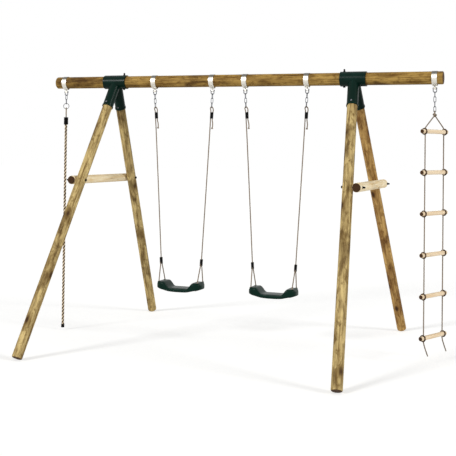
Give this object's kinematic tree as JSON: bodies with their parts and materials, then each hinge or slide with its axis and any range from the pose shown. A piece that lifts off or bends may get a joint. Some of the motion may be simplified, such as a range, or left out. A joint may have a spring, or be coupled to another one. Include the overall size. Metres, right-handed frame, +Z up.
{
  "type": "swing set",
  "caption": "Wooden swing set: round beam on two splayed A-frames, with two swings, a climbing rope and a rope ladder.",
  "frame": {"origin": "on the floor, below the middle of the beam", "axes": "+X along the beam towards the rope ladder, +Y to the rear, +Z up"},
  "size_m": [3.3578, 2.4452, 2.2341],
  "materials": {
    "treated_pine": "round, pressure-treated, fine cracks and knots",
    "pale_pine": "round, pale, dark end grain",
    "rung_wood": "smooth turned",
    "bracket_plastic": "moulded, glossy",
    "seat_plastic": "moulded, fine grain",
    "galvanised_steel": "galvanised",
    "black_plastic": "moulded",
    "black_fastener": "black-capped bolts",
    "tan_rope": "twisted, three-strand",
    "dark_rope": "twisted, worn dark",
    "brown_rope": "twisted, three-strand"
  },
  "bodies": {
    "frame": {"beam": "treated_pine", "bracket_left": "bracket_plastic", "bracket_right": "bracket_plastic", "bracket_screws_left": "galvanised_steel", "bracket_screws_right": "galvanised_steel", "crossbar_left": "pale_pine", "crossbar_right": "pale_pine", "leg_front_left": "treated_pine", "leg_front_right": "treated_pine", "leg_rear_left": "treated_pine", "leg_rear_right": "treated_pine", "pole_bolts_left": "black_fastener", "pole_bolts_right": "black_fastener", "strap_bolts": "galvanised_steel", "strap_climbing": "galvanised_steel", "strap_ladder": "galvanised_steel", "strap_swing_left_left": "galvanised_steel", "strap_swing_left_right": "galvanised_steel", "strap_swing_right_left": "galvanised_steel", "strap_swing_right_right": "galvanised_steel"},
    "swing_left": {"swing_left_adjuster_left": "black_plastic", "swing_left_adjuster_right": "black_plastic", "swing_left_bridle_left": "tan_rope", "swing_left_bridle_right": "tan_rope", "swing_left_chain_left": "galvanised_steel", "swing_left_chain_right": "galvanised_steel", "swing_left_connector_left": "black_plastic", "swing_left_connector_right": "black_plastic", "swing_left_rope_left": "tan_rope", "swing_left_rope_right": "tan_rope", "swing_left_seat": "seat_plastic"},
    "swing_right": {"swing_right_adjuster_left": "black_plastic", "swing_right_adjuster_right": "black_plastic", "swing_right_bridle_left": "tan_rope", "swing_right_bridle_right": "tan_rope", "swing_right_chain_left": "galvanised_steel", "swing_right_chain_right": "galvanised_steel", "swing_right_connector_left": "black_plastic", "swing_right_connector_right": "black_plastic", "swing_right_rope_left": "tan_rope", "swing_right_rope_right": "tan_rope", "swing_right_seat": "seat_plastic"},
    "climbing_rope_body": {"climbing_chain": "galvanised_steel", "climbing_clamp": "black_plastic", "climbing_end_cap": "black_plastic", "climbing_eye": "brown_rope", "climbing_rope": "brown_rope"},
    "rope_ladder": {"ladder_chain": "galvanised_steel", "ladder_eye": "tan_rope", "ladder_knot": "tan_rope", "ladder_rope_front": "tan_rope", "ladder_rope_rear": "tan_rope", "ladder_rung_1": "rung_wood", "ladder_rung_2": "rung_wood", "ladder_rung_3": "rung_wood", "ladder_rung_4": "rung_wood", "ladder_rung_5": "rung_wood", "ladder_rung_6": "rung_wood", "ladder_rung_turns": "dark_rope"}
  },
  "joints": [
    {"name": "swing_left_hinge", "type": "hinge", "parent": "frame", "child": "swing_left", "pos_m": [-0.471, 0, 2.075], "axis": [1, 0, 0], "range_deg": [-60, 60]},
    {"name": "swing_right_hinge", "type": "hinge", "parent": "frame", "child": "swing_right", "pos_m": [0.339, 0, 2.075], "axis": [1, 0, 0], "range_deg": [-60, 60]},
    {"name": "climbing_rope_hinge", "type": "hinge", "parent": "frame", "child": "climbing_rope_body", "pos_m": [-1.585, 0, 2.075], "axis": [1, 0, 0], "range_deg": [-45, 45]},
    {"name": "rope_ladder_hinge", "type": "hinge", "parent": "frame", "child": "rope_ladder", "pos_m": [1.605, 0, 2.075], "axis": [1, 0, 0], "range_deg": [-35, 35]}
  ]
}
